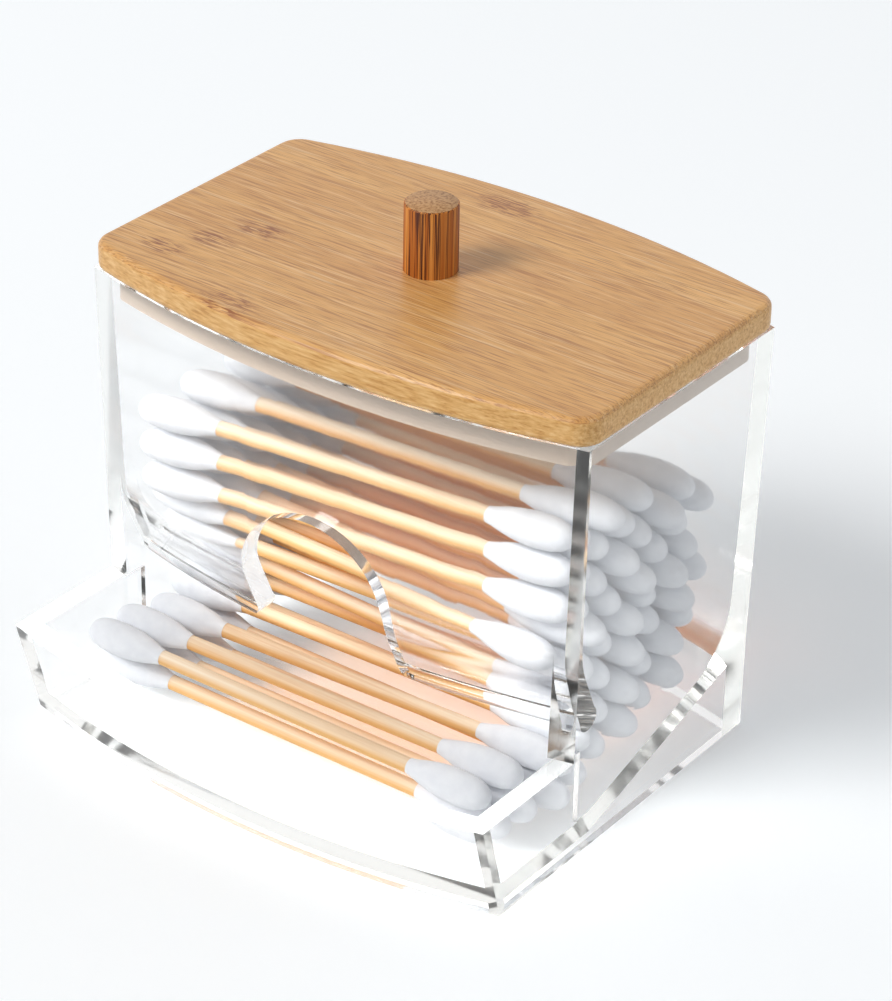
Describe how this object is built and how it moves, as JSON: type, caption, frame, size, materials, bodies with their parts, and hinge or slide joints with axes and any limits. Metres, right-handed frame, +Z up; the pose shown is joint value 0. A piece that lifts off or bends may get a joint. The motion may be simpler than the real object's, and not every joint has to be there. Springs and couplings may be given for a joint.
{
  "type": "cotton swab holder",
  "caption": "Clear plastic cotton swab dispenser with a sloped tray, a finger cut-out and a loose bamboo lid with a dowel knob, filled with double-ended swabs.",
  "frame": {"origin": "centre of the bottom of the bounding box, on the plane that the holder stands on", "axes": "+Z up, +X along the width, -Y towards the tray's front"},
  "size_m": [0.0886, 0.079, 0.0827],
  "materials": {
    "clear_plastic": "clear, polished, faintly yellow-green in the thick sections",
    "lid_bamboo": "light bamboo board, fine streaks along its length, satin",
    "knob_bamboo": "carbonised bamboo dowel, dark grain along its axis, satin",
    "swab_stick": "pale raw wood",
    "cotton": "wound cotton, matt, soft"
  },
  "bodies": {
    "holder": {"hopper": "clear_plastic", "tray_base": "clear_plastic", "hopper_layer_1_sticks": "swab_stick", "hopper_layer_2_sticks": "swab_stick", "hopper_layer_3_sticks": "swab_stick", "hopper_layer_4_sticks": "swab_stick", "hopper_layer_5_sticks": "swab_stick", "hopper_layer_6_sticks": "swab_stick", "hopper_layer_7_sticks": "swab_stick", "hopper_layer_8_sticks": "swab_stick", "tray_layer_1_sticks": "swab_stick", "tray_layer_2_sticks": "swab_stick", "hopper_layer_1_tips": "cotton", "hopper_layer_2_tips": "cotton", "hopper_layer_3_tips": "cotton", "hopper_layer_4_tips": "cotton", "hopper_layer_5_tips": "cotton", "hopper_layer_6_tips": "cotton", "hopper_layer_7_tips": "cotton", "hopper_layer_8_tips": "cotton", "tray_layer_1_tips": "cotton", "tray_layer_2_tips": "cotton"},
    "lid": {"lid": "lid_bamboo", "knob": "knob_bamboo"}
  },
  "joints": [
    {"name": "lid_lift", "type": "slide", "parent": "holder", "child": "lid", "axis": [0, 0, 1], "range_m": [0, 0.04]}
  ]
}
